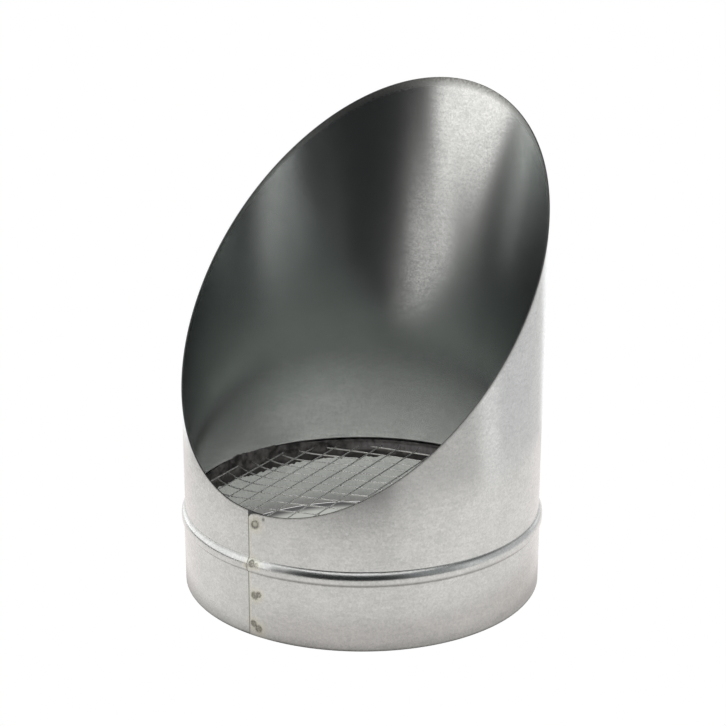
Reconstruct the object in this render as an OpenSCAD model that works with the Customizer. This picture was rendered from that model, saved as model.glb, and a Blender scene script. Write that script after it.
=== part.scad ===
// Mitre-cut cowl vent for a 200 mm round duct, in galvanised sheet steel.
// One sheet is rolled into a tube, lapped and spot welded down the low side, swaged with
// a stop bead and cut off at 45 degrees. A disc of square welded mesh sits in the inside
// groove of the bead, where a ring of dark sealant holds it.
// Frame: millimetres, +Z up the tube axis, origin at the centre of the open lower end,
// -Y towards the low side of the slanted mouth, where the seam is.

/* [Sheet] */
// thickness of the sheet
sheet_t = 0.6; // [0.5:0.1:0.8]
// outside radius of the hood, above the stop bead
body_r = 98.8; // [98.6:0.1:99.0]
// outside radius of the collar that enters the duct
collar_r = 99.5; // [99.3:0.1:99.7]

/* [Mouth] */
// height of the rim on its low side
rim_low_z = 69; // [62:1:80]
// slope of the mouth from level
mouth_angle = 45; // [35:1:50]

/* [Stop bead] */
// height of the middle of the bead, which sets how deep the collar enters the duct
bead_z = 39.5; // [38:0.5:41]
// height of the bead from crease to crease
bead_w = 7.4; // [7:0.1:8]
// outside radius at the crest of the bead
bead_crest_r = 100.9; // [100.6:0.1:101.3]

/* [Lap seam] */
// direction of the outer sheet's edge, in degrees round from +X
lap_angle = 264.2; // [260:0.1:268]
// width of the lap
lap_w = 9.7; // [8:0.1:12]
// radius of the outer sheet's corner at the mouth
lap_corner_r = 2.6; // [1.5:0.1:4]
// width of one spot weld's dent
weld_d = 5; // [4:0.1:6]
// depth of one spot weld's dent
weld_sink = 0.15; // [0.1:0.05:0.25]
// height of the lowest spot weld
weld_low_z = 5.8; // [4:0.1:8]
// height of the spot weld in the middle of the collar
weld_mid_z = 23.5; // [18:0.5:28]
// height of the spot weld under the mouth
weld_high_z = 62.8; // [56:0.2:64]

/* [Mesh] */
// thickness of the mesh wire
wire_d = 0.8; // [0.7:0.1:1.2]
// radius of the disc that the mesh is trimmed to
mesh_r = 98.7; // [98.5:0.1:98.8]
// height of the lower wires' centre line
mesh_z = 37.2; // [37.1:0.1:37.6]
// distance between wires, along X for the long wires and along Y for the cross wires
mesh_pitch = 11.4; // [11.3:0.05:11.45]
// turn of the cross wires out of square, where the mesh was pulled askew
cross_skew = 12; // [8:0.5:13]

/* [Sealant] */
// lowest edge of the sealant smeared on the collar's inside wall
seal_low_z = 29.5; // [26:0.5:33]
// top of the sealant in the groove
seal_top_z = 39.7; // [39.4:0.1:40.5]
// thickness of the smear on the wall
seal_film = 0.7; // [0.4:0.1:1]
// how far the sealant stands in from the wall round the wire ends
seal_lip = 1.5; // [1:0.1:1.8]

/* [Quality] */
// segments in a full circle
$fn = 180; // [96:12:240]

/* [Hidden] */
bead_centre_z = bead_z;
// radius where the bead's arc meets the walls, midway between collar and hood
bead_foot_r = (collar_r + body_r) / 2;
bead_rise = bead_crest_r - bead_foot_r;
// radius of the arc through both creases and the crest
bead_arc_r = (pow(bead_w / 2, 2) + pow(bead_rise, 2)) / (2 * bead_rise);
bead_arc_c = bead_crest_r - bead_arc_r;
// height of the mouth over the tube's axis, and of its high side
mouth_axis_z = rim_low_z + body_r * tan(mouth_angle);
mouth_high_z = rim_low_z + 2 * body_r * tan(mouth_angle);
cut_size = 4 * body_r;
// both edges leave the tube's circle by half a thickness, along arcs drawn from an axis
// that is moved this far towards the lap and away from it
lap_shift = 40;
lap_half = sheet_t / 2;
lap_mid = lap_angle + lap_w / 2 / body_r * 180 / PI;
lap_sweep = 12;
// how far the tuck runs on under the lap, in degrees, and how deep the lap sits in the tube
lap_under = 1;
lap_bite = 0.45;
weld_ball_r = (pow(weld_d / 2, 2) + pow(weld_sink, 2)) / (2 * weld_sink);
weld_angle = lap_angle + lap_w / 4 / body_r * 180 / PI;
wire_r = wire_d / 2;
// the long wires lie on top of the cross wires
long_z = mesh_z + wire_d;
// the wire nearest the axis, in each direction
long_start = -4.2;
cross_start = 4.5;
long_first = -8;
cross_first = -9;
slot_gap = 0.1;

galvanised = [0.74, 0.75, 0.74];
bright_wire = [0.66, 0.68, 0.68];
dark_sealant = [0.10, 0.11, 0.11];

// ---- profiles, radius along X and height along Y ----

// everything inside the outside surface, grown by d
module outer_profile(d) {
    square([collar_r + d, bead_centre_z]);
    translate([0, bead_centre_z])
        square([body_r + d, mouth_high_z - bead_centre_z]);
    intersection() {
        translate([bead_arc_c, bead_centre_z])
            circle(r = bead_arc_r + d);
        square([bead_crest_r + 2, mouth_high_z]);
    }
}

// the open space inside the tube, with the bead's groove
module bore_profile() {
    translate([0, -1])
        square([collar_r - sheet_t, bead_centre_z + 1]);
    translate([0, bead_centre_z])
        square([body_r - sheet_t, mouth_high_z - bead_centre_z + 1]);
    intersection() {
        translate([bead_arc_c, bead_centre_z])
            circle(r = bead_arc_r - sheet_t);
        square([bead_crest_r + 2, mouth_high_z]);
    }
}

// the single thickness of sheet
module sheet_profile() {
    difference() {
        outer_profile(0);
        bore_profile();
    }
}

// the sealant, before the wires' slot is taken out of it
module seal_profile() {
    intersection() {
        bore_profile();
        union() {
            translate([collar_r - sheet_t - seal_film, seal_low_z])
                square([10, seal_top_z - seal_low_z]);
            translate([collar_r - sheet_t - seal_lip, mesh_z - wire_r - 1.6])
                square([10, seal_top_z - mesh_z + wire_r + 1.6]);
        }
    }
}

// ---- the rolled sheet ----

// the outside surface turned about the axis moved s towards the lap, and grown by d
module outer_profile_about(s, d) {
    square([collar_r + d - s, bead_centre_z]);
    translate([0, bead_centre_z])
        square([body_r + d - s, mouth_high_z - bead_centre_z]);
    translate([bead_arc_c - s, bead_centre_z])
        circle(r = bead_arc_r + d);
}

module turned_about(s, d) {
    translate([s * cos(lap_mid), s * sin(lap_mid), 0])
        rotate_extrude()
            outer_profile_about(s, d);
}

// the outside edge of the sheet, which stands out by half a thickness over the lap and
// eases back to the tube
module lap_outer() {
    difference() {
        intersection() {
            rotate([0, 0, lap_angle])
                rotate_extrude(angle = lap_sweep)
                    square([bead_crest_r + 3, mouth_high_z]);
            turned_about(lap_shift, lap_half);
        }
        rotate_extrude()
            outer_profile(-lap_bite);
        lap_corner_cut();
    }
}

// the tuck beside it, where the other edge is pressed in by half a thickness
module lap_tuck() {
    difference() {
        rotate([0, 0, lap_angle - lap_sweep])
            rotate_extrude(angle = lap_sweep + lap_under)
                translate([body_r - 4, -1])
                    square([10, mouth_high_z]);
        turned_about(-lap_shift, -lap_half);
    }
}

// rounds the outer sheet's corner at the mouth
module lap_corner_cut() {
    corner_z = mouth_axis_z + body_r * sin(lap_angle) * tan(mouth_angle);
    rotate([0, 0, lap_angle])
        translate([body_r, 0, corner_z])
            rotate([0, 90, 0])
                difference() {
                    translate([-3, -3, -2])
                        cube([3 + lap_corner_r, 3 + lap_corner_r, 5]);
                    translate([lap_corner_r, lap_corner_r, -3])
                        cylinder(r = lap_corner_r, h = 7);
                }
}

// one shallow dent left by the spot welder
module weld_dent(z, wall_r) {
    rotate([0, 0, weld_angle])
        translate([wall_r + lap_half - weld_sink + weld_ball_r, 0, z])
            sphere(r = weld_ball_r);
}

// everything above the slanted mouth
module above_mouth() {
    translate([0, 0, mouth_axis_z])
        rotate([mouth_angle, 0, 0])
            translate([-cut_size / 2, -cut_size / 2, 0])
                cube([cut_size, cut_size, cut_size]);
}

module cowl_shell() {
    color(galvanised)
        difference() {
            union() {
                difference() {
                    rotate_extrude()
                        sheet_profile();
                    lap_tuck();
                }
                lap_outer();
            }
            above_mouth();
            weld_dent(weld_low_z, collar_r);
            weld_dent(weld_mid_z, collar_r);
            weld_dent(weld_high_z, body_r);
        }
}

// ---- the sealant ring ----

module mesh_sealant() {
    color(dark_sealant)
        rotate_extrude()
            difference() {
                seal_profile();
                translate([0, mesh_z - wire_r])
                    square([mesh_r + slot_gap, 2 * wire_d]);
            }
}

// ---- the mesh ----

// one wire along Y, trimmed to the disc; k counts from the wire nearest the axis
module long_wire(k) {
    x = long_start + k * mesh_pitch;
    reach = sqrt(pow(mesh_r, 2) - pow(abs(x) + wire_r, 2));
    color(bright_wire)
        translate([x, -reach, long_z])
            rotate([-90, 0, 0])
                cylinder(r = wire_r, h = 2 * reach, $fn = 24);
}

// one wire roughly along X, trimmed to the disc; k counts from the wire nearest the axis
module cross_wire(k) {
    off = (cross_start + k * mesh_pitch) * cos(cross_skew);
    reach = sqrt(pow(mesh_r, 2) - pow(abs(off) + wire_r, 2));
    color(bright_wire)
        rotate([0, 0, cross_skew])
            translate([-reach, off, mesh_z])
                rotate([0, 90, 0])
                    cylinder(r = wire_r, h = 2 * reach, $fn = 24);
}

module mesh_long_wire_01() {
    long_wire(long_first + 0);
}

module mesh_long_wire_02() {
    long_wire(long_first + 1);
}

module mesh_long_wire_03() {
    long_wire(long_first + 2);
}

module mesh_long_wire_04() {
    long_wire(long_first + 3);
}

module mesh_long_wire_05() {
    long_wire(long_first + 4);
}

module mesh_long_wire_06() {
    long_wire(long_first + 5);
}

module mesh_long_wire_07() {
    long_wire(long_first + 6);
}

module mesh_long_wire_08() {
    long_wire(long_first + 7);
}

module mesh_long_wire_09() {
    long_wire(long_first + 8);
}

module mesh_long_wire_10() {
    long_wire(long_first + 9);
}

module mesh_long_wire_11() {
    long_wire(long_first + 10);
}

module mesh_long_wire_12() {
    long_wire(long_first + 11);
}

module mesh_long_wire_13() {
    long_wire(long_first + 12);
}

module mesh_long_wire_14() {
    long_wire(long_first + 13);
}

module mesh_long_wire_15() {
    long_wire(long_first + 14);
}

module mesh_long_wire_16() {
    long_wire(long_first + 15);
}

module mesh_long_wire_17() {
    long_wire(long_first + 16);
}

module mesh_cross_wire_01() {
    cross_wire(cross_first + 0);
}

module mesh_cross_wire_02() {
    cross_wire(cross_first + 1);
}

module mesh_cross_wire_03() {
    cross_wire(cross_first + 2);
}

module mesh_cross_wire_04() {
    cross_wire(cross_first + 3);
}

module mesh_cross_wire_05() {
    cross_wire(cross_first + 4);
}

module mesh_cross_wire_06() {
    cross_wire(cross_first + 5);
}

module mesh_cross_wire_07() {
    cross_wire(cross_first + 6);
}

module mesh_cross_wire_08() {
    cross_wire(cross_first + 7);
}

module mesh_cross_wire_09() {
    cross_wire(cross_first + 8);
}

module mesh_cross_wire_10() {
    cross_wire(cross_first + 9);
}

module mesh_cross_wire_11() {
    cross_wire(cross_first + 10);
}

module mesh_cross_wire_12() {
    cross_wire(cross_first + 11);
}

module mesh_cross_wire_13() {
    cross_wire(cross_first + 12);
}

module mesh_cross_wire_14() {
    cross_wire(cross_first + 13);
}

module mesh_cross_wire_15() {
    cross_wire(cross_first + 14);
}

module mesh_cross_wire_16() {
    cross_wire(cross_first + 15);
}

module mesh_cross_wire_17() {
    cross_wire(cross_first + 16);
}

module mesh_cross_wire_18() {
    cross_wire(cross_first + 17);
}

cowl_shell();
mesh_sealant();
mesh_long_wire_01();
mesh_long_wire_02();
mesh_long_wire_03();
mesh_long_wire_04();
mesh_long_wire_05();
mesh_long_wire_06();
mesh_long_wire_07();
mesh_long_wire_08();
mesh_long_wire_09();
mesh_long_wire_10();
mesh_long_wire_11();
mesh_long_wire_12();
mesh_long_wire_13();
mesh_long_wire_14();
mesh_long_wire_15();
mesh_long_wire_16();
mesh_long_wire_17();
mesh_cross_wire_01();
mesh_cross_wire_02();
mesh_cross_wire_03();
mesh_cross_wire_04();
mesh_cross_wire_05();
mesh_cross_wire_06();
mesh_cross_wire_07();
mesh_cross_wire_08();
mesh_cross_wire_09();
mesh_cross_wire_10();
mesh_cross_wire_11();
mesh_cross_wire_12();
mesh_cross_wire_13();
mesh_cross_wire_14();
mesh_cross_wire_15();
mesh_cross_wire_16();
mesh_cross_wire_17();
mesh_cross_wire_18();
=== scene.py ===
"""Mitre-cut duct cowl in galvanised sheet: the looks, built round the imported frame."""

import logging
import math
from dataclasses import dataclass
from enum import Enum
from typing import Optional, Union

import bpy
import numpy as np
from mathutils import Matrix, Vector

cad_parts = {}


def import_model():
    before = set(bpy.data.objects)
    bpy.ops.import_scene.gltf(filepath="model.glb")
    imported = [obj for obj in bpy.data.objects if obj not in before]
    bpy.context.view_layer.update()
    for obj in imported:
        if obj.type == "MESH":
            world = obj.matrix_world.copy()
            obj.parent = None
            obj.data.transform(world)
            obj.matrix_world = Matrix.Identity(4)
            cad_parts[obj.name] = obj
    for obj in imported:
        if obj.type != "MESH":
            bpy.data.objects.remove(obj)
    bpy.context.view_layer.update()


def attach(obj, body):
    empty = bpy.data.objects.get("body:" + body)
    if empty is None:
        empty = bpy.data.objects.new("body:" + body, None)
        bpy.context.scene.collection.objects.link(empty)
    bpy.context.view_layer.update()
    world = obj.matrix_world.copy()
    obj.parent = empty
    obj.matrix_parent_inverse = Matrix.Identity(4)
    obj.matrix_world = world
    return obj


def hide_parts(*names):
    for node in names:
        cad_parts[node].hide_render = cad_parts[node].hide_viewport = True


LOG = logging.getLogger("cowl")
MM = 0.001

Socket = bpy.types.NodeSocket
Items = bpy.types.bpy_prop_collection
Term = Union[Socket, float]
Piece = bpy.types.Object
Material = bpy.types.Material
Triple = tuple[float, float, float]
Colour = tuple[float, float, float, float]
WHITE: Colour = (1.0, 1.0, 1.0, 1.0)


class Layer(Enum):
    """The two layers of wire in the mesh."""

    LONG = "long"
    CROSS = "cross"


# ---- node helpers


class Wiring:
    """Short calls that add and join nodes in one tree."""

    def __init__(self, tree: bpy.types.NodeTree) -> None:
        """Keeps the tree."""
        self.tree = tree

    def node(self, kind: str, **settings: object) -> bpy.types.Node:
        """Adds a node of a type, with some of its properties set."""
        made = self.tree.nodes.new(kind)
        for name, value in settings.items():
            setattr(made, name, value)
        return made

    def feed(self, socket: Socket, value: object) -> None:
        """Links a socket to another, or sets its plain value."""
        if isinstance(value, Socket):
            self.tree.links.new(value, socket)
        elif value is not None:
            socket.default_value = value

    def math(self, operation: str, a: Term, b: Optional[Term] = None, c: Optional[Term] = None,
             clamp: bool = False) -> Socket:
        """The result of a Math node, held between 0 and 1 if clamp is set."""
        made = self.node("ShaderNodeMath", operation=operation, use_clamp=clamp)
        for socket, value in zip(made.inputs, (a, b, c)):
            self.feed(socket, value)
        return made.outputs[0]

    def add(self, a: Term, b: Term) -> Socket:
        """The sum of two values."""
        return self.math("ADD", a, b)

    def sub(self, a: Term, b: Term) -> Socket:
        """The first value less the second."""
        return self.math("SUBTRACT", a, b)

    def mul(self, a: Term, b: Term) -> Socket:
        """The product of two values."""
        return self.math("MULTIPLY", a, b)

    def ramp(self, value: Term, low: Term, high: Term, to_low: Term = 0.0, to_high: Term = 1.0,
             smooth: bool = False) -> Socket:
        """Maps a value from one range to another and clamps it.

        Args:
            value: what is mapped.
            low: start of its range.
            high: end of its range.
            to_low: result at the start.
            to_high: result at the end.
            smooth: whether it eases in and out.
        Returns:
            The mapped value.
        """
        made = self.node("ShaderNodeMapRange", interpolation_type="SMOOTHSTEP" if smooth else "LINEAR")
        for socket, given in zip(made.inputs, (value, low, high, to_low, to_high)):
            self.feed(socket, given)
        return made.outputs[0]

    def xyz(self, vector: Socket) -> tuple[Socket, Socket, Socket]:
        """Splits a vector into its three numbers."""
        made = self.node("ShaderNodeSeparateXYZ")
        self.feed(made.inputs[0], vector)
        return made.outputs[0], made.outputs[1], made.outputs[2]

    def join(self, x: Term, y: Term, z: Term) -> Socket:
        """Joins three numbers into a vector."""
        made = self.node("ShaderNodeCombineXYZ")
        for socket, value in zip(made.inputs, (x, y, z)):
            self.feed(socket, value)
        return made.outputs[0]

    def noise(self, vector: Socket, scale: Term, detail: float = 2.0, rough: float = 0.5) -> Socket:
        """Adds a noise texture.

        Args:
            vector: where it is read.
            scale: how fine it is, per metre.
            detail: number of octaves.
            rough: weight of the finer octaves.
        Returns:
            Its value, about 0 to 1.
        """
        made = self.node("ShaderNodeTexNoise")
        self.feed(made.inputs["Vector"], vector)
        self.feed(made.inputs["Scale"], scale)
        self.feed(made.inputs["Detail"], detail)
        self.feed(made.inputs["Roughness"], rough)
        return made.outputs[0]

    def mix(self, factor: Term, a: object, b: object, blend: str = "MIX") -> Socket:
        """Mixes two colours, where the factor is the share of the second."""
        made = self.node("ShaderNodeMix", data_type="RGBA", blend_type=blend)
        # this node has sockets for every data type, and 6 and 7 are its colours
        self.feed(made.inputs[0], factor)
        self.feed(made.inputs[6], a)
        self.feed(made.inputs[7], b)
        return made.outputs[2]

    def attribute(self, name: str) -> Socket:
        """Reads a number that a piece carries on its mesh."""
        return self.node("ShaderNodeAttribute", attribute_name=name).outputs["Fac"]

    def relief(self, shader: bpy.types.Node, height: Socket, strength: float, depth: float) -> None:
        """Gives a shader a bump that follows a height, with a strength and a depth in metres."""
        bump = self.node("ShaderNodeBump")
        self.feed(bump.inputs["Strength"], strength)
        self.feed(bump.inputs["Distance"], depth)
        self.feed(bump.inputs["Height"], height)
        self.feed(shader.inputs["Normal"], bump.outputs[0])


def modified(piece: Piece) -> bpy.types.Mesh:
    """A new mesh with a piece's shape as its modifiers leave it."""
    bpy.context.view_layer.update()
    return bpy.data.meshes.new_from_object(piece.evaluated_get(bpy.context.evaluated_depsgraph_get()))


class GeometryTree(Wiring):
    """A geometry tree with named inputs, which can be run once into a plain mesh."""

    def __init__(self, name: str, sizes: dict[str, float], counts: dict[str, int]) -> None:
        """Makes the tree and its sockets.

        Args:
            name: the tree's name.
            sizes: number inputs and their values.
            counts: whole-number inputs and their values.
        """
        super().__init__(bpy.data.node_groups.new(name, "GeometryNodeTree"))
        face = self.tree.interface
        face.new_socket("Mesh", in_out="OUTPUT", socket_type="NodeSocketGeometry")
        face.new_socket("Finish", in_out="INPUT", socket_type="NodeSocketMaterial")
        for label in sizes:
            face.new_socket(label, in_out="INPUT", socket_type="NodeSocketFloat")
        for label in counts:
            face.new_socket(label, in_out="INPUT", socket_type="NodeSocketInt")
        self.values: dict[str, object] = {**sizes, **counts}
        self.entry = self.node("NodeGroupInput")
        self.exit = self.node("NodeGroupOutput")

    def given(self, label: str) -> Socket:
        """The input socket of that name."""
        return self.entry.outputs[label]

    def flat(self) -> tuple[Socket, Socket, Socket]:
        """A flat grid of Columns by Rows, and each point's share of the way along and up it."""
        grid = self.node("GeometryNodeMeshGrid")
        self.feed(grid.inputs["Size X"], 1.0)
        self.feed(grid.inputs["Size Y"], 1.0)
        self.feed(grid.inputs["Vertices X"], self.given("Columns"))
        self.feed(grid.inputs["Vertices Y"], self.given("Rows"))
        x, y, _ = self.xyz(self.node("GeometryNodeInputPosition").outputs[0])
        return grid.outputs["Mesh"], self.add(x, 0.5), self.add(y, 0.5)

    def moved(self, geometry: Socket, to: Socket, how: str = "Position") -> Socket:
        """The geometry with its points moved to a place, or by an Offset."""
        move = self.node("GeometryNodeSetPosition")
        self.feed(move.inputs["Geometry"], geometry)
        self.feed(move.inputs[how], to)
        return move.outputs[0]

    def polar(self, radius: Socket, angle: Socket, z: Term) -> Socket:
        """The place at a radius, an angle and a height."""
        return self.join(self.mul(radius, self.math("COSINE", angle)),
                         self.mul(radius, self.math("SINE", angle)), z)

    def close(self, geometry: Socket) -> None:
        """Ends the tree in Realize Instances and Set Material."""
        real = self.node("GeometryNodeRealizeInstances")
        dress = self.node("GeometryNodeSetMaterial")
        self.feed(real.inputs[0], geometry)
        self.feed(dress.inputs["Geometry"], real.outputs[0])
        self.feed(dress.inputs["Material"], self.given("Finish"))
        self.feed(self.exit.inputs[0], dress.outputs[0])

    def bake(self, name: str, finish: Material) -> Piece:
        """Runs the tree and keeps the result as a plain mesh.

        Args:
            name: the piece's name.
            finish: its material.
        Returns:
            The piece, linked to the scene with no modifier left.
        """
        holder = bpy.data.objects.new(name + "_maker", bpy.data.meshes.new(name + "_maker"))
        bpy.context.scene.collection.objects.link(holder)
        modifier = holder.modifiers.new("maker", "NODES")
        modifier.node_group = self.tree
        values = {**self.values, "Finish": finish}
        for item in self.tree.interface.items_tree:
            if item.item_type == "SOCKET" and item.in_out == "INPUT":
                modifier[item.identifier] = values[item.name]
        mesh = modified(holder)
        mesh.name = name
        holder.modifiers.remove(modifier)
        bpy.data.objects.remove(holder)
        piece = bpy.data.objects.new(name, mesh)
        bpy.context.scene.collection.objects.link(piece)
        return piece


def apply_modifiers(piece: Piece) -> None:
    """Makes a piece's modified shape its own mesh."""
    mesh, old = modified(piece), piece.data
    piece.modifiers.clear()
    piece.data = mesh
    mesh.name = piece.name
    bpy.data.meshes.remove(old)


def rows(items: Items, what: str) -> np.ndarray:
    """Reads a vector from each vertex or face of a mesh, one row each."""
    flat = np.zeros(len(items) * 3)
    items.foreach_get(what, flat)
    return flat.reshape(-1, 3)


def mark(mesh: bpy.types.Mesh, name: str, values: np.ndarray, domain: str = "POINT") -> None:
    """Stores one number per vertex or face on a mesh, held between 0 and 1."""
    layer = mesh.attributes.new(name, "FLOAT", domain)
    layer.data.foreach_set("value", np.clip(values, 0, 1).astype(np.float32))


def bell(values: np.ndarray, centre: float, width: float) -> np.ndarray:
    """A bell curve, 1 at its centre."""
    return np.exp(-(((values - centre) / width) ** 2))


def plateau(values: np.ndarray, width: float) -> np.ndarray:
    """A curve that stays near 1 inside its width and drops off quickly outside."""
    return np.exp(-((values / width) ** 4))


def hand_over(piece: Piece, sharp_deg: float, nodes: list[str]) -> Piece:
    """Shades a finished piece and puts it on the frame.

    Args:
        piece: the piece.
        sharp_deg: the turn between two faces that makes their edge sharp.
        nodes: the nodes of the CAD model that it replaces.
    Returns:
        The piece.
    """
    piece.data.polygons.foreach_set("use_smooth", [True] * len(piece.data.polygons))
    piece.data.set_sharp_from_angle(angle=math.radians(sharp_deg))
    piece.data.update()
    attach(piece, "root")
    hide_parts(*nodes)
    return piece


# ---- shader groups


class ZincGroups:
    """Shader groups that more than one finish uses."""

    bend_scale = 260.0
    bend_reach = 3.0 * MM
    scuff_scale = 620.0
    scuff_stretch = 0.2

    def __init__(self) -> None:
        """Builds the groups."""
        self.bloom = self._bloom()
        self.grit = self._grit()

    @staticmethod
    def _start(name: str, inputs: list[str], outputs: list[str]) -> tuple[Wiring, Items, Items]:
        """Makes an empty group with a Vector input.

        Args:
            name: the group's name.
            inputs: its number inputs.
            outputs: its number outputs.
        Returns:
            The wiring, and the sockets of the input and the output node.
        """
        tree = bpy.data.node_groups.new(name, "ShaderNodeTree")
        tree.interface.new_socket("Vector", in_out="INPUT", socket_type="NodeSocketVector")
        for label in inputs:
            tree.interface.new_socket(label, in_out="INPUT", socket_type="NodeSocketFloat")
        for label in outputs:
            tree.interface.new_socket(label, in_out="OUTPUT", socket_type="NodeSocketFloat")
        w = Wiring(tree)
        return w, w.node("NodeGroupInput").outputs, w.node("NodeGroupOutput").inputs

    def _bloom(self) -> bpy.types.NodeTree:
        """Zinc bloom: small flakes of spangle under a soft cloudiness."""
        w, given, result = self._start("zinc_bloom", ["Flake", "Cloud"], ["Flakes", "Clouds"])
        flake = w.node("ShaderNodeTexVoronoi", feature="F1")
        bent = w.node("ShaderNodeTexNoise")
        w.feed(bent.inputs["Vector"], given["Vector"])
        w.feed(bent.inputs["Scale"], self.bend_scale)
        shift = w.node("ShaderNodeVectorMath", operation="SCALE")
        w.feed(shift.inputs[0], bent.outputs["Color"])
        w.feed(shift.inputs["Scale"], self.bend_reach)
        moved = w.node("ShaderNodeVectorMath", operation="ADD")
        w.feed(moved.inputs[0], given["Vector"])
        w.feed(moved.inputs[1], shift.outputs[0])
        w.feed(flake.inputs["Vector"], moved.outputs[0])
        w.feed(flake.inputs["Scale"], given["Flake"])
        w.feed(result["Flakes"], w.xyz(flake.outputs["Color"])[0])
        w.feed(result["Clouds"], w.noise(given["Vector"], given["Cloud"], 3.0))
        return w.tree

    def _grit(self) -> bpy.types.NodeTree:
        """Fine grit and scratches left by handling."""
        w, given, result = self._start("handling_grit", ["Fine"], ["Grit", "Scuffs"])
        x, y, z = w.xyz(given["Vector"])
        stretched = w.join(w.mul(x, self.scuff_stretch), w.mul(y, self.scuff_stretch), z)
        w.feed(result["Grit"], w.noise(given["Vector"], given["Fine"], 3.0))
        w.feed(result["Scuffs"], w.ramp(w.noise(stretched, self.scuff_scale), 0.42, 0.72))
        return w.tree


def place(w: Wiring, group: bpy.types.NodeTree, vector: Socket, **values: float) -> bpy.types.Node:
    """Adds a shader group to a material, with its Vector input and its number inputs."""
    made = w.node("ShaderNodeGroup")
    made.node_tree = group
    w.feed(made.inputs["Vector"], vector)
    for label, value in values.items():
        w.feed(made.inputs[label], value)
    return made


# ---- finishes


def start_material(name: str, metallic: float) -> tuple[Material, Wiring, bpy.types.Node]:
    """Makes a material, its wiring and its shader, with metallic 1 for bare metal and 0 for the rest."""
    material = bpy.data.materials.new(name)
    material.use_nodes = True
    shader = material.node_tree.nodes["Principled BSDF"]
    shader.inputs["Metallic"].default_value = metallic
    return material, Wiring(material.node_tree), shader


@dataclass(frozen=True)
class GalvanisedSheet:
    """Hot-dip galvanised sheet with fine spangle, dull cut edges, stains and burns round the spot welds, and
    painted shade along the seam, the foot and the bead's creases.
    """

    light: Colour = (0.600, 0.634, 0.626, 1.0)
    dark: Colour = (0.470, 0.502, 0.495, 1.0)
    stain: Colour = (0.60, 0.60, 0.46, 1.0)
    burn_and_shade: Colour = (0.13, 0.13, 0.115, 1.0)
    cut: Colour = (0.09, 0.094, 0.094, 1.0)
    rough_low: float = 0.205
    rough_high: float = 0.265
    burn_and_shade_rough: float = 0.30
    flake_scale: float = 700.0
    cloud_scale: float = 60.0
    grit_scale: float = 1050.0
    broken_scale: float = 900.0
    flake_share: float = 0.22
    cloud_share: float = 0.35
    grit_share: float = 0.90
    scuff_share: float = 0.14
    stain_share: float = 0.55
    relief: float = 0.10
    relief_depth: float = 0.2 * MM

    def make(self, groups: ZincGroups) -> Material:
        """Builds the material out of the shared shader groups."""
        material, w, shader = start_material("galvanised_sheet", 1.0)
        where = w.node("ShaderNodeTexCoord").outputs["Object"]
        bloom = place(w, groups.bloom, where, Flake=self.flake_scale, Cloud=self.cloud_scale)
        grit = place(w, groups.grit, where, Fine=self.grit_scale)
        clouds = bloom.outputs["Clouds"]
        tone = w.add(w.mul(bloom.outputs["Flakes"], self.flake_share), w.mul(clouds, self.cloud_share))
        tone = w.add(tone, w.mul(grit.outputs["Grit"], self.grit_share))
        tone = w.sub(tone, w.mul(grit.outputs["Scuffs"], self.scuff_share))
        colour = w.mix(w.ramp(tone, 0.47, 0.97), self.dark, self.light)
        # the dark cut edges, with the painted shadow along the lap's edge and behind the dropped corner
        edge = w.math("MAXIMUM", w.attribute("cut_edge"), w.attribute("seam_painted_shade"))
        broken = w.ramp(w.noise(where, self.broken_scale), 0.35, 0.62)
        colour = w.mix(w.mul(w.attribute("weld_halo"), self.stain_share), colour, self.stain)
        # the burns and the painted shade are patchy, and never under 0.6 of their mark
        burn_and_shade = w.math("MULTIPLY", w.attribute("weld_burn_and_painted_shade"), w.add(w.mul(broken, 0.4), 0.6), clamp=True)
        # weld burns, a darker line below the rim, and painted shade along the foot and in the bead's creases,
        # all in one dark colour
        colour = w.mix(burn_and_shade, colour, self.burn_and_shade)
        w.feed(shader.inputs["Base Color"], w.mix(edge, colour, self.cut))
        rough = w.ramp(tone, 0.40, 1.00, self.rough_high, self.rough_low)
        rough = w.add(rough, w.mul(w.math("MAXIMUM", burn_and_shade, edge), self.burn_and_shade_rough))
        w.feed(shader.inputs["Roughness"], rough)
        w.relief(shader, clouds, self.relief, self.relief_depth)
        return material


@dataclass(frozen=True)
class DullWire:
    """Dull galvanised mesh wire, drawn and then welded."""

    light: Colour = (0.72, 0.73, 0.71, 1.0)
    dark: Colour = (0.58, 0.59, 0.58, 1.0)
    rough_low: float = 0.40
    rough_high: float = 0.48
    flake_scale: float = 150.0
    cloud_scale: float = 60.0
    flake_share: float = 0.4
    cloud_share: float = 0.6

    def make(self, groups: ZincGroups) -> Material:
        """Builds the material out of the shared shader groups."""
        material, w, shader = start_material("galvanised_wire", 1.0)
        where = w.node("ShaderNodeTexCoord").outputs["Object"]
        bloom = place(w, groups.bloom, where, Flake=self.flake_scale, Cloud=self.cloud_scale)
        tone = w.add(w.mul(bloom.outputs["Flakes"], self.flake_share),
                     w.mul(bloom.outputs["Clouds"], self.cloud_share))
        w.feed(shader.inputs["Base Color"], w.mix(w.ramp(tone, 0.3, 0.7), self.dark, self.light))
        w.feed(shader.inputs["Roughness"], w.ramp(tone, 0.3, 0.7, self.rough_high, self.rough_low))
        return material


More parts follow.
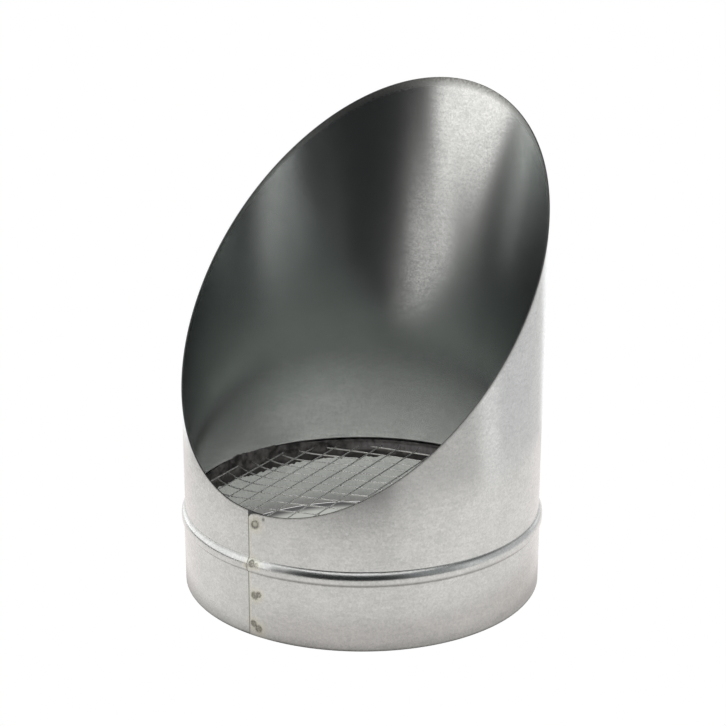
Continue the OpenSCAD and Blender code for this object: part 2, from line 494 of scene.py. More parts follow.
@dataclass(frozen=True)
class DarkSealant:
    """Dark duct sealant, smeared on by hand, dusty where it is dry and worn, with a painted sheen of lighter
    grey high up at the back.
    """

    deep: Colour = (0.012, 0.012, 0.0115, 1.0)
    dusty: Colour = (0.13, 0.125, 0.122, 1.0)
    # the lighter grey of a painted sheen
    film: Colour = (0.24, 0.235, 0.24, 1.0)
    rough_low: float = 0.55
    rough_high: float = 0.8
    grit_scale: float = 800.0
    lump_scale: float = 160.0
    sheen_share: float = 0.8
    relief: float = 0.5
    relief_depth: float = 0.6 * MM

    def make(self, groups: ZincGroups) -> Material:
        """Builds the material out of the shared shader groups."""
        material, w, shader = start_material("dark_sealant", 0.0)
        where = w.node("ShaderNodeTexCoord").outputs["Object"]
        grit = place(w, groups.grit, where, Fine=self.grit_scale)
        lumps = w.noise(where, self.lump_scale, 4.0, 0.6)
        dry = w.mul(w.ramp(lumps, 0.38, 0.62), w.attribute("worn"))
        colour = w.mix(dry, self.deep, self.dusty)
        # a painted sheen of lighter grey, high up at the back
        sheen = w.mul(w.attribute("painted_sheen"), self.sheen_share)
        w.feed(shader.inputs["Base Color"], w.mix(sheen, colour, self.film))
        w.feed(shader.inputs["Roughness"],
               w.ramp(grit.outputs["Grit"], 0.3, 0.7, self.rough_low, self.rough_high))
        w.relief(shader, lumps, self.relief, self.relief_depth)
        return material


# ---- the rolled sheet


@dataclass(frozen=True)
class WeldMark:
    """One burnt spot on the lap: its distance in from the edge, height, radius and how dark it is."""

    across: float
    height: float
    radius: float
    ring: float = 0.95
    core: float = 0.75


@dataclass(frozen=True)
class StainAndShadeLine:
    """A dark line on the sheet, for the seam's stain, the darker line below the rim and painted shade: how
    dark it is in its middle, and how wide.
    """

    dark: float
    width: float

    def at(self, distance: np.ndarray) -> np.ndarray:
        """How dark it is at a distance from its middle."""
        return self.dark * bell(distance, 0.0, self.width)


@dataclass
class RolledSheet:
    """One sheet rolled round once and lapped, with a collar, a stop bead and a slanted mouth."""

    sheet: float = 0.60 * MM
    hood_r: float = 98.8 * MM
    collar_r: float = 99.5 * MM
    crest_r: float = 100.80 * MM
    bead_z: float = 39.5 * MM
    bead_w: float = 7.4 * MM
    bead_hang: float = 0.20
    bead_full: float = 3.0
    crease_soft: float = 0.35 * MM
    rim_low_z: float = 69.0 * MM
    mouth_deg: float = 45.0
    lap_deg: float = -95.8
    lap_w: float = 9.7 * MM
    lap_ease_deg: float = 7.0
    lap_gap: float = 0.03 * MM
    corner_r: float = 2.9 * MM
    corner_drop: float = 2.3 * MM
    corner_w: float = 7.0 * MM
    shadow_z: float = 3.8 * MM
    columns: int = 400
    crowding: float = 0.80
    weld_sink: float = 0.12 * MM
    weld_rim: float = 0.03 * MM
    nick_across: float = 9.6 * MM
    nick_z: float = 66.7 * MM
    nick_r: float = 0.75 * MM
    seam_reach: float = 8.0 * MM
    # painted shadow in the gap along the lap's edge
    seam_painted_shadow: StainAndShadeLine = StainAndShadeLine(0.9, 0.45 * MM)
    seam_stain: StainAndShadeLine = StainAndShadeLine(0.70, 1.2 * MM)
    seam_stain_at: float = 0.6 * MM
    # a darker line just below the rim
    rim_dark_line: StainAndShadeLine = StainAndShadeLine(0.80, 0.50 * MM)
    # painted shade in the bead's two creases
    low_crease_painted_shade: StainAndShadeLine = StainAndShadeLine(0.62, 0.30 * MM)
    high_crease_painted_shade: StainAndShadeLine = StainAndShadeLine(0.55, 0.30 * MM)
    # painted contact shadow along the foot, where it stands on the floor
    foot_painted_shadow: StainAndShadeLine = StainAndShadeLine(0.80, 0.60 * MM)
    long_wave: float = 0.05 * MM
    short_wave: float = 0.03 * MM
    welds: tuple[WeldMark, ...] = (
        WeldMark(4.3 * MM, 63.2 * MM, 2.3 * MM, core=0.35),
        WeldMark(2.8 * MM, 41.3 * MM, 1.7 * MM),
        WeldMark(5.9 * MM, 41.0 * MM, 1.2 * MM, ring=0.55, core=0.5),
        WeldMark(-0.6 * MM, 39.2 * MM, 1.0 * MM, ring=0.4, core=0.4),
        WeldMark(3.8 * MM, 23.1 * MM, 2.0 * MM),
        WeldMark(6.4 * MM, 24.3 * MM, 1.5 * MM),
        WeldMark(2.9 * MM, 6.9 * MM, 1.8 * MM),
        WeldMark(6.0 * MM, 4.7 * MM, 2.0 * MM),
    )
    spans: tuple[tuple[int, float], ...] = (
        (18, 10.5 * MM), (3, 18.0 * MM), (18, 29.0 * MM), (4, 35.0 * MM), (26, 44.0 * MM), (4, 56.0 * MM),
        (38, 0.0))

    def __post_init__(self) -> None:
        """Works out the bead's foot, the number of rows, and the mouth's slope and height on the axis."""
        self.bead_foot = (self.collar_r + self.hood_r) / 2
        self.rows = sum(count for count, _ in self.spans)
        self.slope = math.tan(math.radians(self.mouth_deg))
        self.rim_axis_z = self.rim_low_z + self.hood_r * self.slope

    def _tree(self) -> GeometryTree:
        """The tree that rolls a flat grid into the lapped tube, as its outside surface.

        Returns:
            The tree, ready to run.
        """
        t = GeometryTree("rolled_sheet", {
            "Hood Radius": self.hood_r, "Collar Radius": self.collar_r, "Bead Height": self.bead_z,
            "Bead Half Width": self.bead_w / 2, "Bead Hang": self.bead_hang, "Bead Fullness": self.bead_full,
            "Bead Foot": self.bead_foot, "Bead Rise": self.crest_r - self.bead_foot,
            "Crease Softness": self.crease_soft, "Rim Height on Axis": self.rim_axis_z,
            "Mouth Slope": self.slope, "Corner Radius": self.corner_r,
            "Lap Start": math.radians(self.lap_deg), "Lap Angle": self.lap_w / self.hood_r,
            "Lap Ease": math.radians(self.lap_ease_deg), "Half Step": self.sheet / 2 + self.lap_gap,
        }, {"Columns": self.columns + 1, "Rows": self.rows + 1})
        g = t.given
        flat, u, v = t.flat()
        # columns crowd together at both ends of the sheet, where the lap is
        crowd = t.mul(t.math("SINE", t.mul(u, math.tau)), self.crowding / math.tau)
        turn = t.add(g("Lap Angle"), math.tau)
        along = t.mul(t.sub(u, crowd), turn)
        left = t.sub(turn, along)
        angle = t.add(along, g("Lap Start"))
        rise = t.mul(t.mul(t.math("SINE", angle), g("Hood Radius")), g("Mouth Slope"))
        top = t.add(g("Rim Height on Axis"), rise)
        # the rounded corner of the outside edge
        from_edge = t.mul(along, g("Hood Radius"))
        short = t.math("MAXIMUM", t.sub(g("Corner Radius"), from_edge), 0.0)
        chord = t.math("SQRT", t.sub(t.math("POWER", g("Corner Radius"), 2.0), t.math("POWER", short, 2.0)))
        top = t.sub(top, t.sub(g("Corner Radius"), chord))
        z = self._heights(t, v, top)
        # the collar turns into the hood behind the bead
        wall = t.ramp(z, t.sub(g("Bead Height"), 0.001), t.add(g("Bead Height"), 0.001),
                      g("Collar Radius"), g("Hood Radius"), smooth=True)
        share = t.math("DIVIDE", t.sub(z, g("Bead Height")), g("Bead Half Width"))
        # the crest of the bead hangs a little below its middle
        hang = t.math("MAXIMUM", t.sub(1.0, t.math("POWER", share, 2.0)), 0.0)
        share = t.math("ABSOLUTE", t.add(share, t.mul(hang, g("Bead Hang"))))
        bulge = t.sub(1.0, t.math("POWER", share, g("Bead Fullness")))
        bead = t.add(g("Bead Foot"), t.mul(bulge, g("Bead Rise")))
        radius = t.math("SMOOTH_MAX", wall, bead, g("Crease Softness"))
        ease_end = t.add(g("Lap Angle"), g("Lap Ease"))
        out = t.ramp(along, g("Lap Angle"), ease_end, g("Half Step"), 0.0, smooth=True)
        into = t.ramp(left, g("Lap Angle"), ease_end, g("Half Step"), 0.0, smooth=True)
        radius = t.add(radius, t.sub(out, into))
        t.close(t.moved(flat, t.polar(radius, angle, z)))
        return t

    def _heights(self, t: GeometryTree, v: Socket, top: Socket) -> Socket:
        """The height of a row by its share of the rows, with close rows at the bead and the welds."""
        done, low = 0, 0.0
        z: Term = 0.0
        for count, high in self.spans:
            rise: Term = high - low if high else t.sub(top, low)
            z = t.add(z, t.ramp(v, done / self.rows, (done + count) / self.rows, 0.0, rise))
            done, low = done + count, high
        return z

    def _press_welds(self, across: np.ndarray, z: np.ndarray) -> tuple[np.ndarray, np.ndarray, np.ndarray]:
        """Works out the spot welds and the nick beside the top one.

        Args:
            across: distance of each vertex from the lap's edge.
            z: its height.
        Returns:
            How deep each vertex is pressed in, how stained it is, and how burnt.
        """
        dent, halo, burn_and_shade = np.zeros(len(z)), np.zeros(len(z)), np.zeros(len(z))
        for weld in self.welds:
            far = np.hypot(across - weld.across, z - weld.height) / weld.radius
            dent += plateau(far, 1.0) * self.weld_sink - bell(far, 1.15, 0.3) * self.weld_rim
            burn_and_shade = np.maximum(burn_and_shade, weld.ring * bell(far, 0.80, 0.34))
            burn_and_shade = np.maximum(burn_and_shade, weld.core * plateau(far, 0.9))
            halo = np.maximum(halo, bell(far, 0.0, 2.2))
        nick = np.hypot(across - self.nick_across, (z - self.nick_z) * 0.7)
        return dent, halo, np.maximum(burn_and_shade, bell(nick, 0.0, self.nick_r))

    def _work(self, piece: Piece) -> None:
        """Presses the welds into the lap, marks the stains, the burns, the darker line below the rim and the
        painted shade, and gives the sheet its slight unevenness.
        """
        mesh = piece.data
        co = rows(mesh.vertices, "co")
        angle, radius = np.arctan2(co[:, 1], co[:, 0]), np.hypot(co[:, 0], co[:, 1])
        across = (angle - math.radians(self.lap_deg)) * self.hood_r
        z = co[:, 2].copy()
        dent, halo, burn_and_shade = self._press_welds(across, z)
        near_seam = np.abs(across) < self.seam_reach
        # painted shadow in the gap along the lap's edge
        seam_shade = self.seam_painted_shadow.at(across) * near_seam
        halo = np.maximum(halo, self.seam_stain.at(across - self.seam_stain_at) * near_seam)
        below_rim = self.rim_axis_z + self.hood_r * np.sin(angle) * self.slope - z
        # a darker line below the rim, a painted contact shadow along the foot and painted shade in the bead's
        # two creases, added to the weld burns
        for dark_line, away in ((self.rim_dark_line, below_rim), (self.foot_painted_shadow, z),
                           (self.low_crease_painted_shade, z - (self.bead_z - self.bead_w / 2)),
                           (self.high_crease_painted_shade, z - (self.bead_z + self.bead_w / 2))):
            burn_and_shade = np.maximum(burn_and_shade, dark_line.at(away))
        # the sheet behind the dropped corner is in its shadow, painted on here as seam shade
        outside = np.arange(len(co)) // (self.rows + 1) < self.columns // 2
        behind = ~outside & (across > -0.4 * MM) & (across < self.corner_w) & (below_rim < self.shadow_z)
        seam_shade = np.where(behind, 1.0, seam_shade)
        drop = self.corner_drop * np.clip(1 - across / self.corner_w, 0, 1) ** 2 * outside * near_seam
        co[:, 2] -= drop * np.clip((z - 50 * MM) / (18 * MM), 0, 1)
        wave = (np.sin(3 * angle + 0.7) * np.sin(co[:, 2] * 21 + 0.4) * self.long_wave
                + np.sin(7 * angle + 1.9) * np.sin(co[:, 2] * 34 + 1.3) * self.short_wave)
        wave *= np.clip((co[:, 2] - 46 * MM) / (25 * MM), 0, 1)
        co[:, :2] *= ((radius - dent - np.abs(wave)) / radius)[:, None]
        mesh.vertices.foreach_set("co", co.reshape(-1))
        mark(mesh, "weld_halo", halo)
        mark(mesh, "weld_burn_and_painted_shade", burn_and_shade)
        mark(mesh, "seam_painted_shade", seam_shade)
        mesh.update()

    @staticmethod
    def _mark_cuts(piece: Piece) -> None:
        """Marks the faces across the sheet's thickness, which are cut and not rolled."""
        faces = piece.data.polygons
        normal, centre = rows(faces, "normal"), rows(faces, "center")
        out = centre[:, :2] / np.linalg.norm(centre[:, :2], axis=1, keepdims=True)
        facing = np.abs((normal[:, :2] * out).sum(axis=1))
        mark(piece.data, "cut_edge", facing < 0.35, "FACE")

    def build(self, finish: Material) -> Piece:
        """Rolls the sheet, presses its welds and gives it thickness.

        Args:
            finish: its material.
        Returns:
            The piece.
        """
        piece = self._tree().bake("rolled_cowl_sheet", finish)
        self._work(piece)
        wall = piece.modifiers.new("sheet_thickness", "SOLIDIFY")
        wall.thickness = self.sheet
        wall.offset = -1.0
        wall.use_even_offset = True
        apply_modifiers(piece)
        self._mark_cuts(piece)
        return hand_over(piece, 35.0, ["cowl_shell"])


# ---- the mesh


@dataclass
class BirdMesh:
    """A disc of square welded mesh, pulled a little askew."""

    wire_d: float = 0.8 * MM
    trim_r: float = 98.7 * MM
    low_z: float = 37.2 * MM
    pitch: float = 11.4 * MM
    skew_deg: float = 12.0
    long_start: float = -4.2 * MM
    cross_start: float = 4.5 * MM
    long_first: int = -8
    long_count: int = 17
    cross_first: int = -9
    cross_count: int = 18
    steps: int = 56
    sides: int = 10
    waver: float = 0.5 * MM
    waver_scale: float = 14.0
    fan_middle: float = -34.5 * MM
    fan_front: float = 0.05
    fan_back: float = -0.10
    turn_up_from: float = -64.0 * MM
    turn_up: float = 14.0

    def _tree(self, layer: Layer) -> GeometryTree:
        """The tree that lays out one layer of wire, trims it to the disc and bends it.

        Args:
            layer: which layer.
        Returns:
            The tree, ready to run.
        """
        cross = layer is Layer.CROSS
        skew = math.radians(self.skew_deg)
        squeeze = math.cos(skew) if cross else 1.0
        way = -1.0 if cross else 1.0
        first = self.cross_first if cross else self.long_first
        start = self.cross_start if cross else self.long_start
        t = GeometryTree("mesh_wires_" + layer.value, {
            "First Wire": way * (start + first * self.pitch) * squeeze, "Pitch": way * self.pitch * squeeze,
            "Turn": skew - math.pi / 2 if cross else 0.0, "Trim Radius": self.trim_r,
            "Wire Radius": self.wire_d / 2, "Height": self.low_z + (0.0 if cross else self.wire_d),
            "Waver": self.waver,
        }, {"Wires": self.cross_count if cross else self.long_count, "Steps": self.steps})
        g = t.given
        line = t.node("GeometryNodeMeshLine", mode="OFFSET")
        t.feed(line.inputs["Count"], g("Wires"))
        t.feed(line.inputs["Start Location"], t.join(g("First Wire"), 0.0, 0.0))
        t.feed(line.inputs["Offset"], t.join(g("Pitch"), 0.0, 0.0))
        unit = t.node("GeometryNodeCurvePrimitiveLine")
        t.feed(unit.inputs["Start"], (0.0, -1.0, 0.0))
        t.feed(unit.inputs["End"], (0.0, 1.0, 0.0))
        cut = t.node("GeometryNodeResampleCurve")
        t.feed(cut.inputs["Curve"], unit.outputs[0])
        t.feed(cut.inputs["Count"], g("Steps"))
        out_x = t.xyz(t.node("GeometryNodeInputPosition").outputs[0])[0]
        far_side = t.add(t.math("ABSOLUTE", out_x), g("Wire Radius"))
        reach = t.math("SQRT", t.sub(t.math("POWER", g("Trim Radius"), 2.0), t.math("POWER", far_side, 2.0)))
        lay = t.node("GeometryNodeInstanceOnPoints")
        t.feed(lay.inputs["Points"], line.outputs["Mesh"])
        t.feed(lay.inputs["Instance"], cut.outputs[0])
        t.feed(lay.inputs["Scale"], t.join(1.0, reach, 1.0))
        real = t.node("GeometryNodeRealizeInstances")
        t.feed(real.inputs[0], lay.outputs[0])
        turn = t.node("GeometryNodeTransform")
        t.feed(turn.inputs["Geometry"], real.outputs[0])
        t.feed(turn.inputs["Translation"], t.join(0.0, 0.0, g("Height")))
        t.feed(turn.inputs["Rotation"], t.join(0.0, 0.0, g("Turn")))
        bent = t.moved(turn.outputs[0], self._pull(t, cross), "Offset")
        tube = t.node("GeometryNodeCurveToMesh")
        ring = t.node("GeometryNodeCurvePrimitiveCircle")
        t.feed(ring.inputs["Resolution"], self.sides)
        t.feed(ring.inputs["Radius"], g("Wire Radius"))
        t.feed(tube.inputs["Curve"], bent)
        t.feed(tube.inputs["Profile Curve"], ring.outputs[0])
        t.feed(tube.inputs["Fill Caps"], True)
        t.close(tube.outputs[0])
        return t

    def _pull(self, t: GeometryTree, cross: bool) -> Socket:
        """How far each point of a wire lies from its straight line.

        Args:
            t: the tree.
            cross: whether this is the cross layer, which fans out and turns up at its left ends.
        Returns:
            The offset as a vector.
        """
        spot = t.node("GeometryNodeInputPosition").outputs[0]
        x, y, _ = t.xyz(spot)
        ripple = t.mul(t.sub(t.noise(spot, self.waver_scale), 0.5), 2.0)
        ripple = t.mul(ripple, t.given("Waver"))
        if not cross:
            return t.join(ripple, 0.0, 0.0)
        fan = t.ramp(y, 45 * MM, 90 * MM, self.fan_front, self.fan_back, smooth=True)
        swing = t.mul(fan, t.sub(x, self.fan_middle))
        swing = t.mul(swing, t.ramp(x, 20 * MM, 80 * MM, 1.0, 0.0, smooth=True))
        end = t.math("MAXIMUM", t.sub(self.turn_up_from, x), 0.0)
        turned_up = t.mul(t.math("POWER", end, 2.0), self.turn_up)
        return t.join(0.0, t.add(ripple, t.add(swing, turned_up)), 0.0)

    def build(self, finish: Material) -> list[Piece]:
        """Makes both layers in one finish."""
        made = []
        for layer, count in ((Layer.LONG, self.long_count), (Layer.CROSS, self.cross_count)):
            piece = self._tree(layer).bake(f"mesh_{layer.value}_wires", finish)
            nodes = [f"mesh_{layer.value}_wire_{i + 1:02d}" for i in range(count)]
            made.append(hand_over(piece, 50.0, nodes))
        return made


# ---- the sealant


@dataclass
class SealantRing:
    """A ring of sealant pressed into the bead's groove over the wire ends, and smeared below it."""

    wall_r: float = 98.9 * MM
    groove_r: float = 100.2 * MM
    groove_z: float = 39.5 * MM
    groove_w: float = 6.6 * MM
    low_z: float = 29.8 * MM
    top_z: float = 41.6 * MM
    film: float = 0.55 * MM
    lip: float = 1.5 * MM
    ragged: float = 2.6 * MM
    swell_from: float = 33.5 * MM
    swell_to: float = 37.2 * MM
    hood_step: float = 0.7 * MM
    heap_rad: float = 2.85
    heap_width_rad: float = 0.36
    heap_sag: float = 1.8 * MM
    heap_rise: float = 2.2 * MM
    heap_rough: float = 3.5 * MM
    heap_lip: float = 0.8 * MM
    columns: int = 720
    rows: int = 44

    def _tree(self) -> GeometryTree:
        """The tree that wraps a grid round into a closed, uneven ring.

        Returns:
            The tree, ready to run.
        """
        t = GeometryTree("sealant_ring", {
            "Wall Radius": self.wall_r, "Groove Radius": self.groove_r, "Groove Height": self.groove_z,
            "Groove Width": self.groove_w, "Low": self.low_z, "Top": self.top_z, "Film": self.film,
            "Lip": self.lip, "Ragged": self.ragged,
        }, {"Columns": self.columns + 1, "Rows": self.rows + 1})
        g = t.given
        flat, u, v = t.flat()
        angle = t.mul(u, math.tau)
        # v runs up the front face and down the back, so share is 0 at the low edge and 1 at the top
        share = t.math("PINGPONG", t.mul(v, 2.0), 1.0)
        back = t.math("GREATER_THAN", v, 0.5)
        round_it = t.join(t.math("COSINE", angle), t.math("SINE", angle), 0.0)
        coarse = t.sub(t.noise(round_it, 7.0), 0.5)
        fine = t.sub(t.noise(round_it, 34.0, 3.0, 0.6), 0.5)
        uneven = t.add(t.mul(coarse, 1.4), t.mul(fine, 1.6))
        low = t.add(g("Low"), t.mul(g("Ragged"), uneven))
        # more was pressed on at the left of the back, where it stands above the groove
        off = t.math("DIVIDE", t.sub(angle, self.heap_rad), self.heap_width_rad)
        heap = t.math("EXPONENT", t.mul(t.math("POWER", off, 2.0), -1.0))
        low = t.sub(low, t.mul(heap, self.heap_sag))
        heap_top = t.add(self.heap_rise, t.mul(t.add(coarse, fine), self.heap_rough))
        top = t.add(g("Top"), t.mul(heap, heap_top))
        z = t.add(low, t.mul(share, t.sub(top, low)))
        arch = t.math("POWER", t.math("SINE", t.mul(share, math.pi)), 0.55)
        lumps = t.noise(t.join(t.math("COSINE", angle), t.math("SINE", angle), t.mul(z, 9.0)), 22.0, 3.0, 0.6)
        bulge = t.ramp(z, self.swell_from, self.swell_to, g("Film"), g("Lip"), smooth=True)
        thick = t.mul(t.mul(bulge, arch), t.ramp(lumps, 0.25, 0.75, 0.55, 1.5))
        thick = t.add(thick, t.mul(t.mul(heap, arch), self.heap_lip))
        into = t.math("DIVIDE", t.sub(z, g("Groove Height")), t.math("DIVIDE", g("Groove Width"), 2.0))
        bowl = t.math("SQRT", t.math("MAXIMUM", t.sub(1.0, t.math("POWER", into, 2.0)), 0.0))
        # the hood is a little narrower inside than the collar
        step = t.ramp(z, 39 * MM, 43 * MM, 0.0, self.hood_step, smooth=True)
        front_r = t.sub(t.sub(g("Wall Radius"), thick), step)
        groove = t.mul(bowl, t.sub(g("Groove Radius"), g("Wall Radius")))
        back_r = t.add(t.sub(g("Wall Radius"), step), groove)
        radius = t.add(t.mul(back, back_r), t.mul(t.sub(1.0, back), front_r))
        weld = t.node("GeometryNodeMergeByDistance")
        t.feed(weld.inputs["Geometry"], t.moved(flat, t.polar(radius, angle, z)))
        t.feed(weld.inputs["Distance"], 1e-6)
        flip = t.node("GeometryNodeFlipFaces")
        t.feed(flip.inputs[0], weld.outputs[0])
        t.close(flip.outputs[0])
        return t

    @staticmethod
    def _weather(piece: Piece) -> None:
        """Marks a painted sheen of lighter grey high up at the back, and where its film is dry and worn."""
        co = rows(piece.data.vertices, "co")
        z, angle = co[:, 2], np.degrees(np.arctan2(co[:, 1], co[:, 0]))
        along = np.clip((128 - angle) / 10, 0, 1) * np.clip((angle - 60) / 20, 0, 1)
        up = np.clip((z - 34.5 * MM) / (1.2 * MM), 0, 1) * np.clip((40.2 * MM - z) / (0.8 * MM), 0, 1)
        streaks = 0.75 + 0.25 * np.sin(angle * 2.3 + 0.5) * np.sin(angle * 5.1)
        # the painted sheen, in streaks
        mark(piece.data, "painted_sheen", along * up * streaks)
        waves = 1.5 * MM * np.sin(angle * 0.31)
        mark(piece.data, "worn", 0.25 + 0.75 * np.clip((z - 32.5 * MM + waves) / (2.5 * MM), 0, 1))

    def build(self, finish: Material) -> Piece:
        """Makes the ring in its finish."""
        piece = self._tree().bake("groove_sealant", finish)
        self._weather(piece)
        return hand_over(piece, 80.0, ["mesh_sealant"])


# ---- the studio


PAPER: Triple = (1.08, 1.0, 0.975)
INSIDE: Triple = (1.03, 1.0, 0.95)
WARM: Triple = (1.07, 1.0, 0.98)
ROSY: Triple = (1.05, 1.0, 1.0)


@dataclass(frozen=True)
class Card:
    """A soft-edged patch of light or shade, on the floor or on the walls of the studio.

    Azimuths are in degrees round the cowl. On the floor near and far are distances from its axis in metres;
    on the walls they are heights above the horizon in degrees.
    """

    name: str
    centre: float
    half: float
    near: float
    far: float
    level: float
    soft: float = 12.0
    blur: float = 0.06
    tint: Triple = (1.0, 1.0, 1.0)


@dataclass
class Studio:
    """A pale sweep under soft light, with a dark room behind the camera, and the camera."""

    unit: float = 98.8 * MM
    camera_at: Triple = (4.2437, -7.3192, 3.9516)
    camera_right: Triple = (0.86500, 0.50177, 0.00203)
    camera_back: Triple = (0.47733, -0.82412, 0.30493)
    lens_mm: float = 79.607
    sensor_mm: float = 36.0
    room: Colour = (0.018, 0.019, 0.020, 1.0)
    floor_half: float = 3.0
    floor_z: float = -0.4 * MM
    inside_r: float = 99.2 * MM
    # painted shade on the floor inside the collar, and a painted shadow where it meets the wall
    painted_inside_shade: Colour = (0.47, 0.48, 0.45, 1.0)
    painted_corner_shadow: Colour = (0.10, 0.10, 0.10, 1.0)
    walls: tuple[Card, ...] = (
        Card("left softbox", 200.0, 48.0, -5.0, 46.0, 1.42, soft=14.0, blur=10.0, tint=(1.05, 1.0, 0.99)),
        Card("back wall", 115.0, 40.0, -5.0, 30.0, 1.10, soft=24.0, blur=16.0),
        Card("back right wall", 42.0, 38.0, -5.0, 30.0, 0.70, soft=24.0, blur=16.0, tint=(1.04, 1.0, 1.0)),
        Card("right fill", 352.0, 22.0, -5.0, 45.0, 0.34, soft=20.0, blur=20.0),
        Card("top box", 0.0, 180.0, 74.0, 100.0, 1.75, blur=8.0),
        Card("front strip", 298.0, 64.0, 46.0, 62.0, 2.10, soft=16.0, blur=5.0, tint=ROSY),
        Card("high left box", 205.0, 25.0, 46.0, 62.0, 1.20, soft=14.0, blur=8.0),
        Card("ceiling", 190.0, 60.0, 46.0, 74.0, 0.30, soft=50.0, blur=10.0),
    )
    sweep: tuple[Card, ...] = (
        Card("paper", 0.0, 180.0, 0.0985, 0.285, 0.95, blur=0.03, tint=PAPER),
        Card("paper right", 20.0, 50.0, 0.0985, 0.285, 0.09, soft=30.0, blur=0.03, tint=PAPER),
        Card("paper left", 208.0, 28.0, 0.0985, 0.285, 0.07, soft=20.0, blur=0.03, tint=PAPER),
        Card("shade at the foot", 325.0, 62.0, 0.0985, 0.135, -0.26, soft=40.0, blur=0.03),
        Card("inside", 0.0, 180.0, -1.0, 0.092, 0.24, blur=0.010, tint=INSIDE),
        Card("inside right foot", 350.0, 45.0, 0.084, 0.0985, 0.46, soft=30.0, blur=0.012, tint=INSIDE),
        Card("inside front", 290.0, 96.0, 0.045, 0.0985, 0.20, soft=60.0, blur=0.002, tint=INSIDE),
        Card("inside middle", 0.0, 180.0, -1.0, 0.047, 0.40, blur=0.02, tint=INSIDE),
        Card("inside back left", 140.0, 45.0, 0.047, 0.086, 0.28, soft=30.0, blur=0.02, tint=INSIDE),
        Card("strip, near end", 263.0, 13.0, 0.356, 0.43, 0.94, soft=14.0, blur=0.05, tint=WARM),
        Card("front left strip", 250.5, 15.0, 0.43, 0.90, 0.92, soft=12.0, blur=0.05, tint=WARM),
        Card("left card", 208.0, 42.0, 0.95, 9.0, 1.62, soft=14.0, blur=0.20, tint=WARM),
        Card("right paper", 348.0, 30.0, 0.285, 0.52, 0.72, soft=20.0, blur=0.12, tint=(1.08, 1.0, 0.98)),
        Card("right far", 4.0, 16.0, 0.52, 9.0, 0.50, soft=12.0, blur=0.20),
        Card("back right paper", 50.0, 36.0, 0.285, 9.0, 0.86, soft=24.0, blur=0.04, tint=ROSY),
        Card("back paper", 134.0, 48.0, 0.285, 9.0, 1.40, soft=24.0, blur=0.03),
    )

    def camera(self) -> None:
        """Stands the camera in front, to the right and above."""
        data = bpy.data.cameras.new("camera")
        data.lens, data.sensor_width = self.lens_mm, self.sensor_mm
        data.clip_start, data.clip_end = 0.05, 50.0
        camera = bpy.data.objects.new("camera", data)
        back = Vector(self.camera_back).normalized()
        up = back.cross(Vector(self.camera_right).normalized()).normalized()
        turn = Matrix((up.cross(back), up, back)).transposed().to_4x4()
        camera.matrix_world = Matrix.Translation(Vector(self.camera_at) * self.unit) @ turn
        bpy.context.scene.collection.objects.link(camera)
        bpy.context.scene.camera = camera

    def _lit(self, w: Wiring, cards: tuple[Card, ...], azimuth: Socket, reach: Socket, unit: float) -> Socket:
        """Adds a set of cards to the dim light of the room.

        Args:
            w: the wiring.
            cards: the cards.
            azimuth: direction round the cowl in radians.
            reach: distance or height, as the cards give it.
            unit: what one unit of near and far is in the units of reach.
        Returns:
            The colour of the light.
        """
        total: object = self.room
        for card in cards:
            edge = card.blur / 2
            near = w.ramp(reach, (card.near - edge) * unit, (card.near + edge) * unit, smooth=True)
            far = w.ramp(reach, (card.far - edge) * unit, (card.far + edge) * unit, 1.0, 0.0, smooth=True)
            mask = w.mul(near, far)
            if card.half < 180.0:
                turn = w.math("COSINE", w.sub(azimuth, math.radians(card.centre)))
                outer = math.cos(math.radians(min(card.half + card.soft / 2, 180.0)))
                inner = math.cos(math.radians(card.half - card.soft / 2))
                mask = w.mul(mask, w.ramp(turn, outer, inner, smooth=True))
            glow = w.node("ShaderNodeVectorMath", operation="SCALE")
            w.feed(glow.inputs[0], tuple(card.level * part for part in card.tint))
            w.feed(glow.inputs["Scale"], mask)
            total = w.mix(1.0, total, glow.outputs[0], "ADD")
        return total

    @staticmethod
    def _unseen(w: Wiring, kind: str, lit: Socket, plain: object, end: str) -> None:
        """Shows a plain pale colour to the camera and the cards to everything else.

        Args:
            w: the wiring.
            kind: the light shader's node type.
            lit: the colour of the cards.
            plain: what the camera sees.
            end: the output node's type.
        """
        glow, pale = w.node(kind), w.node(kind)
        w.feed(glow.inputs["Color"], lit)
        w.feed(pale.inputs["Color"], plain)
        seen = w.node("ShaderNodeLightPath").outputs["Is Camera Ray"]
        mix = w.node("ShaderNodeMixShader")
        for socket, value in zip(mix.inputs, (seen, glow.outputs[0], pale.outputs[0])):
            w.feed(socket, value)
        w.feed(w.node(end).inputs[0], mix.outputs[0])

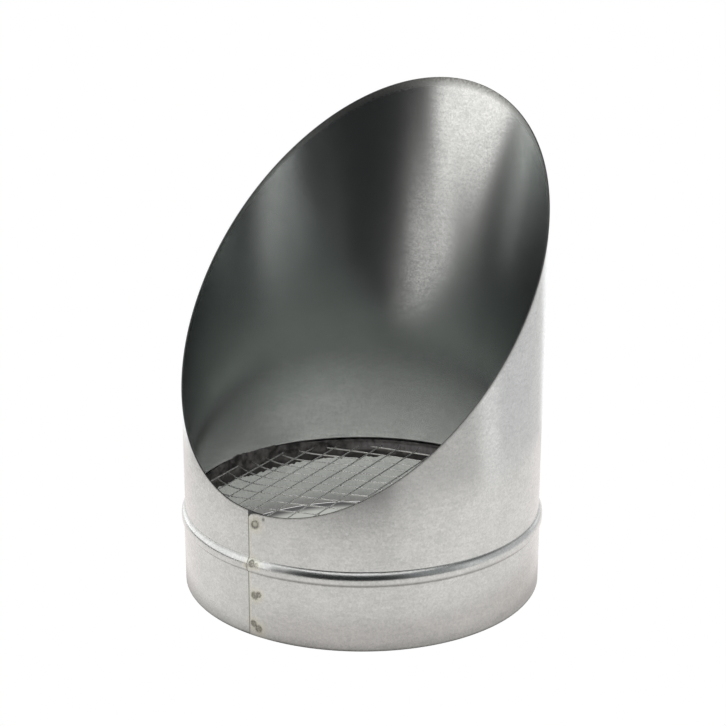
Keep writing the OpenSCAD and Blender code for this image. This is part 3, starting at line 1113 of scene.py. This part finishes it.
    def world(self) -> None:
        """Lights the scene from all round: bright to the left and behind, dark towards the camera."""
        world = bpy.data.worlds.new("studio")
        world.use_nodes = True
        bpy.context.scene.world = world
        w = Wiring(world.node_tree)
        world.node_tree.nodes.clear()
        x, y, z = w.xyz(w.node("ShaderNodeTexCoord").outputs["Generated"])
        lit = self._lit(w, self.walls, w.math("ARCTAN2", y, x), w.math("ARCSINE", z), math.radians(1.0))
        self._unseen(w, "ShaderNodeBackground", lit, WHITE, "ShaderNodeOutputWorld")

    def floor(self) -> None:
        """Lays a pale floor that throws light up, and is dark beyond the paper towards the camera. Inside the
        collar the camera sees it in painted shade, with a painted shadow where it meets the wall.
        """
        mesh = bpy.data.meshes.new("floor")
        side = self.floor_half
        mesh.from_pydata([(-side, -side, 0), (side, -side, 0), (side, side, 0), (-side, side, 0)], [],
                         [(0, 1, 2, 3)])
        floor = bpy.data.objects.new("floor", mesh)
        floor.location.z = self.floor_z
        bpy.context.scene.collection.objects.link(floor)
        material = bpy.data.materials.new("pale_floor")
        material.use_nodes = True
        w = Wiring(material.node_tree)
        material.node_tree.nodes.clear()
        x, y, _ = w.xyz(w.node("ShaderNodeTexCoord").outputs["Object"])
        reach = w.math("SQRT", w.add(w.math("POWER", x, 2.0), w.math("POWER", y, 2.0)))
        lit = self._lit(w, self.sweep, w.math("ARCTAN2", y, x), reach, 1.0)
        # painted shade inside the collar, darkest in a painted shadow near the wall
        corner = w.ramp(reach, self.inside_r - 12 * MM, self.inside_r - 3 * MM, smooth=True)
        painted_shade_inside = w.mix(corner, self.painted_inside_shade, self.painted_corner_shadow)
        outside = w.math("GREATER_THAN", reach, self.inside_r)
        plain = w.mix(outside, painted_shade_inside, WHITE)
        self._unseen(w, "ShaderNodeEmission", lit, plain, "ShaderNodeOutputMaterial")
        mesh.materials.append(material)

    def build(self) -> None:
        """Sets up the camera, the light and the floor."""
        bpy.context.scene.view_settings.view_transform = "Standard"
        self.camera()
        self.world()
        self.floor()


# ---- the whole


def main() -> None:
    """Builds every piece in order and reports it."""
    logging.basicConfig(level=logging.INFO, format="%(name)s: %(message)s")
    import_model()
    groups = ZincGroups()
    Studio().build()
    made = [RolledSheet().build(GalvanisedSheet().make(groups))]
    made += BirdMesh().build(DullWire().make(groups))
    made.append(SealantRing().build(DarkSealant().make(groups)))
    for piece in made:
        LOG.info("%s: %d faces", piece.name, len(piece.data.polygons))


if __name__ == "__main__":
    main()
